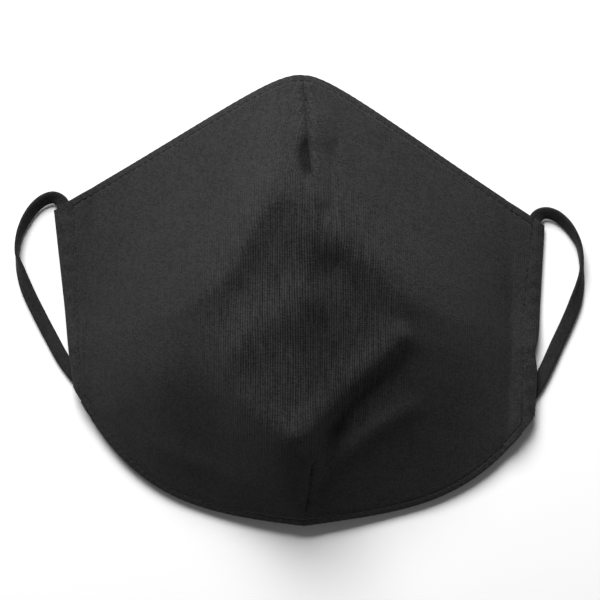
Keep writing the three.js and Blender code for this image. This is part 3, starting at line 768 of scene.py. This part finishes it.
def channel_top(side, x, y):
    """Height of the channel's outer face: level with the panel's at the seam, rounding down to
    the outer edge, and lower under the panel's lapped edge."""
    outer_x = side["axis_x"] + side["lean"] * y + side["sign"] * CHANNEL_WIDTH / 2
    seam = seam_x(side, y)
    part = np.clip((x - seam) / (outer_x - seam), 0, 1)
    middle_height = REST_MIDDLE + side_lift(y)
    level = panel_height(x, y) + CLOTH / 2
    swing = PUCKER["swing"] * np.sin(y / PUCKER["swing_length"])
    wave = np.sin(math.tau * y / PUCKER["pitch"] + swing)
    pucker = PUCKER["height"] * wave * np.sin(math.pi * part)
    rounded = np.sqrt(1 - part ** CHANNEL["rounding"])
    open_top = middle_height + (level - middle_height) * rounded + pucker
    drawn = RIM["drop"] * (1 - np.clip(part * RIM_SPAN / RIM["reach"], 0, 1)) ** 2
    inside = side["sign"] * (x - seam)
    under_lap = level - LAP["thickness"] - LAP["gap"] - RIM["drop"]
    return mix(under_lap, open_top - drawn, smoothstep(-SEAM_BLEND, SEAM_BLEND, inside))


def channel_rings(side, wall):
    """Rings along a channel, of its outer face, or of its hollow if it is a wall's depth in."""
    section = soft_section(CHANNEL_WIDTH - 2 * wall, 2, CHANNEL_SIDES, CHANNEL["squareness"])
    across, up = section[:, 0], section[:, 1]
    part = np.linspace(0, 1, CHANNEL_STEPS)[:, None]
    over = smoothstep(-SKIN_BLEND, SKIN_BLEND, up)  # 1 on the upper skin, 0 on the under one
    first_x = side["axis_x"] + side["lean"] * side["fold_y"] + across
    last_x = side["axis_x"] + side["lean"] * top_edge(side["axis_x"]) + across
    low_hem, high_hem = (
        np.where(side["sign"] * (spot - seam_x(side, edge(spot))) < UNDER_HEM,
                 hem_inset(edge, spot) + HEM_CLEARANCE, 0)
        for spot, edge in ((first_x, bottom_edge), (last_x, top_edge)))
    bottom = mix(side["fold_y"] + MOUTHS["low"],
                 np.minimum(bottom_edge(first_x), side["fold_y"]), over)
    top = top_edge(last_x) - high_hem - MOUTHS["high"] * (1 - over)
    y = mix(bottom + low_hem * over, top, part)
    nip = side["nip"]
    outer_share = np.clip(0.5 + side["sign"] * across / CHANNEL_WIDTH, 0, 1)
    drawn_in = nip["depth"] * np.exp(-((y - nip["y"]) / nip["reach"]) ** 2) * outer_share ** 3
    x = side["axis_x"] + side["lean"] * y + across - side["sign"] * drawn_in
    middle_height = REST_MIDDLE + side_lift(y)
    if wall:
        z = middle_height + up * CHANNEL["hollow"] / 2
    else:
        crown = channel_top(side, x, y)
        z = np.where(up > 0, middle_height + up * (crown - middle_height),
                     middle_height + up * CHANNEL["below"])
    return np.stack([x, y, z], axis=-1)


def make_channel(name, side):
    outer = channel_rings(side, 0)
    inner = channel_rings(side, CHANNEL["wall"])
    rings, size = outer.shape[:2]
    count = rings * size
    faces = ring_faces(rings, size, False)[:-2]
    faces += [tuple(count + index for index in reversed(face)) for face in faces]
    last = (rings - 1) * size
    for index in range(size):
        following = (index + 1) % size
        faces.append((index, following, count + following, count + index))
        faces.append((last + following, last + index, count + last + index,
                      count + last + following))
    points = np.concatenate([outer.reshape(-1, 3), inner.reshape(-1, 3)])
    made = make_piece(f"sewn_channel_{name}", points, faces,
                      knit_place(points[:, 0], points[:, 1]), hem_knit_lightened)
    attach(made, "root")
    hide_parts(f"side_channel_{name}")
    return made


def channel_stitches(name, side):
    low, high = (edge(side["axis_x"]) + STITCHES_FROM for edge in (bottom_edge, top_edge))
    y = np.arange(low, high, STITCH["pitch"])
    x = seam_x(side, y)
    z = panel_height(x, y) + STITCH["lift"]
    run = unit(np.stack([seam_x(side, y + 1) - x, np.ones_like(y), np.zeros_like(y)], axis=-1))
    up = np.tile(np.array([0.0, 0.0, 1.0]), (len(y), 1))
    make_stitches(f"channel_stitches_{name}", np.stack([x, y, z], axis=-1), run, up)


channels = [make_channel(name, side) for name, side in SIDES.items()]
for side_name, side_row in SIDES.items():
    channel_stitches(side_name, side_row)

# ======== Dart folds ========
# The cloth that each dart takes in, pressed flat to the right of its seam, on the panel's inside.
DART_FOLD = {"thickness": 1.4, "below": 2.3, "tip_width": 1.5, "aside": 1.4, "clearance": 2.5,
             "rows": 60, "columns": 14}
DART_FOLDS = {
    "nose": {"dart": NOSE_DART, "edge": top_edge, "tip": 46, "width": 6.5},
    "chin": {"dart": CHIN_DART, "edge": bottom_edge, "tip": -57, "width": 5.5},
}


def make_dart_fold(name, fold):
    """A wedge that lies under the panel beside the seam, from the dart's tip to the hem."""
    towards = 1 if fold["tip"] > 0 else -1
    openness = np.linspace(0, 1, DART_FOLD["rows"])[:, None]
    openness = openness if towards > 0 else 1 - openness
    (mouth_x, _), (tip_x, _) = fold["dart"]["mouth"], fold["dart"]["tip"]
    seam = mix(tip_x, mouth_x, openness) + DART_FOLD["aside"]
    width = mix(DART_FOLD["tip_width"], fold["width"], openness)
    x = seam + width * np.linspace(0, 1, DART_FOLD["columns"])
    mouth = fold["edge"](x) - towards * (hem_inset(fold["edge"], x) + DART_FOLD["clearance"])
    y = mix(fold["tip"], mouth, openness)
    plain = panel_height(x, y) - dart_height(x, y, NOSE_DART) - dart_height(x, y, CHIN_DART)
    upper = np.stack([x, y, plain - DART_FOLD["below"]], axis=-1)
    lower = upper - np.array([0, 0, DART_FOLD["thickness"]])
    points = np.concatenate([upper.reshape(-1, 3), lower.reshape(-1, 3)])
    made = make_piece(f"{name}_dart_fold", points, slab_faces(*x.shape),
                      knit_place(points[:, 0], points[:, 1]), black_knit)
    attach(made, "root")
    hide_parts(f"{name}_dart")
    return made


dart_folds = [make_dart_fold(name, fold) for name, fold in DART_FOLDS.items()]

# ======== Ear loops ========
# Soft flat knitted elastic, 5 mm wide, one ring a side. Each comes out of its channel's top, turns
# over on its way down, passes under the channel's lower end and folds back up into it.
ELASTIC = {"width": 5.0, "thickness": 1.6, "squareness": 2.8}
LOOP_STEPS = 420
LOOP_SIDES = 20
# x, y, z and roll in degrees, point by point, up through the channel and round.
LOOP_ROUTES = {
    "left": (
        (-82.2, 0, 2.1, 0), (-84.2, 18, 2.1, 0), (-85.6, 30.5, 2.1, 0), (-85.9, 33.3, 2.1, 0),
        (-87.2, 36.1, 2.3, 14), (-89.9, 37.5, 2.5, 30), (-93.4, 36.5, 2.6, 36),
        (-96.9, 33.6, 2.6, 42), (-99.9, 29.2, 2.7, 50), (-102.4, 23.4, 2.8, 72),
        (-103.1, 17.2, 2.8, 84), (-101.9, 11.2, 2.75, 125), (-99.6, 4, 2.15, 155),
        (-95.7, -4.5, 1.45, 172), (-91, -13.6, 1.15, 178), (-86.6, -21.6, 1.1, 180),
        (-82.6, -27, 1.15, 180), (-79.6, -30.3, 1.25, 180), (-78.5, -32.8, 1.6, 180),
        (-78.4, -33.5, 2.9, 180), (-78.5, -32.7, 4.3, 180), (-79, -29.5, 4.6, 180),
        (-79.9, -21, 4.6, 180), (-80.5, -15.5, 4.28, 180), (-81.1, -10, 3.35, 180),
        (-81.7, -5, 2.49, 180),
    ),
    "right": (
        (84, 0, 2.1, 0), (84.9, 15, 2.1, 0), (85.4, 25, 2.1, 0), (85.6, 28, 2.1, 0),
        (86.9, 30.6, 2.3, -14), (89.5, 31.8, 2.5, -30), (92.9, 31.1, 2.6, -36),
        (96.1, 28.9, 2.6, -42), (99, 25.6, 2.7, -52), (101.9, 20, 2.8, -72),
        (102.9, 13, 2.85, -84), (102.5, 6.6, 2.75, -118), (100.7, -0.8, 2.15, -155),
        (97.6, -8.8, 1.45, -172), (94.2, -16.2, 1.15, -178), (90.6, -24.2, 1.15, -180),
        (87, -31.2, 1.2, -180), (83.6, -36.4, 1.25, -180), (81.9, -40.4, 1.6, -180),
        (81.8, -41.2, 2.9, -180), (81.8, -40.4, 4.3, -180), (82, -37, 4.6, -180),
        (82.2, -21, 4.6, -180), (82.6, -15.5, 4.28, -180), (83.4, -10, 3.35, -180),
        (83.7, -5, 2.49, -180),
    ),
}


def closed_spline(rows, steps):
    """A smooth closed curve through points, with the row, and share of the next, of each step."""
    points = np.array(rows, float)
    chords = np.sqrt(np.linalg.norm(np.roll(points, -1, axis=0) - points, axis=-1))
    place = np.linspace(0, len(points), steps, endpoint=False)
    curve = []
    for value in place:
        row = int(value)
        knots = [points[(row + shift) % len(points)] for shift in (-1, 0, 1, 2)]
        spans = [chords[(row + shift) % len(points)] for shift in (-1, 0, 1)]
        t0, t1 = 0, spans[0]
        t2, t3 = t1 + spans[1], t1 + spans[1] + spans[2]
        t = mix(t1, t2, value - row)
        a1 = mix(knots[0], knots[1], (t - t0) / (t1 - t0))
        a2 = mix(knots[1], knots[2], (t - t1) / (t2 - t1))
        a3 = mix(knots[2], knots[3], (t - t2) / (t3 - t2))
        b1 = mix(a1, a2, (t - t0) / (t2 - t0))
        b2 = mix(a2, a3, (t - t1) / (t3 - t1))
        curve.append(mix(b1, b2, (t - t1) / (t2 - t1)))
    return np.array(curve), place


def make_loop(name, route):
    """A flat band carried along its route without twist, then rolled as the route says."""
    centre, place = closed_spline([row[:3] for row in route], LOOP_STEPS)
    rolls = [row[3] for row in route] + [route[-1][3]]
    roll = np.radians(np.interp(place, range(len(rolls)), rolls))
    ahead = unit(np.roll(centre, -1, axis=0) - np.roll(centre, 1, axis=0))
    flat = np.zeros_like(centre)
    carried = np.array([1.0, 0, 0])
    for step in range(LOOP_STEPS):
        carried = carried - ahead[step] * np.dot(carried, ahead[step])
        carried /= np.linalg.norm(carried)
        flat[step] = carried
    up = np.cross(flat, ahead)
    end = flat[-1] * math.cos(roll[-1]) + up[-1] * math.sin(roll[-1])
    missing = math.atan2(np.dot(flat[0], np.cross(end, ahead[0])), np.dot(flat[0], end))
    roll = roll + missing * np.arange(LOOP_STEPS) / LOOP_STEPS
    wide = flat * np.cos(roll)[:, None] + up * np.sin(roll)[:, None]
    thick = np.cross(wide, ahead)
    section = soft_section(
        ELASTIC["width"], ELASTIC["thickness"], LOOP_SIDES, ELASTIC["squareness"])
    rings = (centre[:, None] + wide[:, None] * section[None, :, :1]
             + thick[:, None] * section[None, :, 1:])
    knit = np.stack([np.tile(section[:, 0], (LOOP_STEPS, 1)),
                     np.repeat(travelled(centre)[:, None], LOOP_SIDES, axis=1)], axis=-1)
    made = make_piece(f"elastic_loop_{name}", rings.reshape(-1, 3),
                      ring_faces(LOOP_STEPS, LOOP_SIDES, True), knit.reshape(-1, 2), elastic_knit)
    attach(made, "root")
    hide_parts(f"ear_loop_{name}")


elastic_knit = knit_paint(
    "elastic_knit", (0.0175, 0.0175, 0.0180), wale=0.5, course=0.7, relief=0.08)
for loop_name, loop_route in LOOP_ROUTES.items():
    make_loop(loop_name, loop_route)
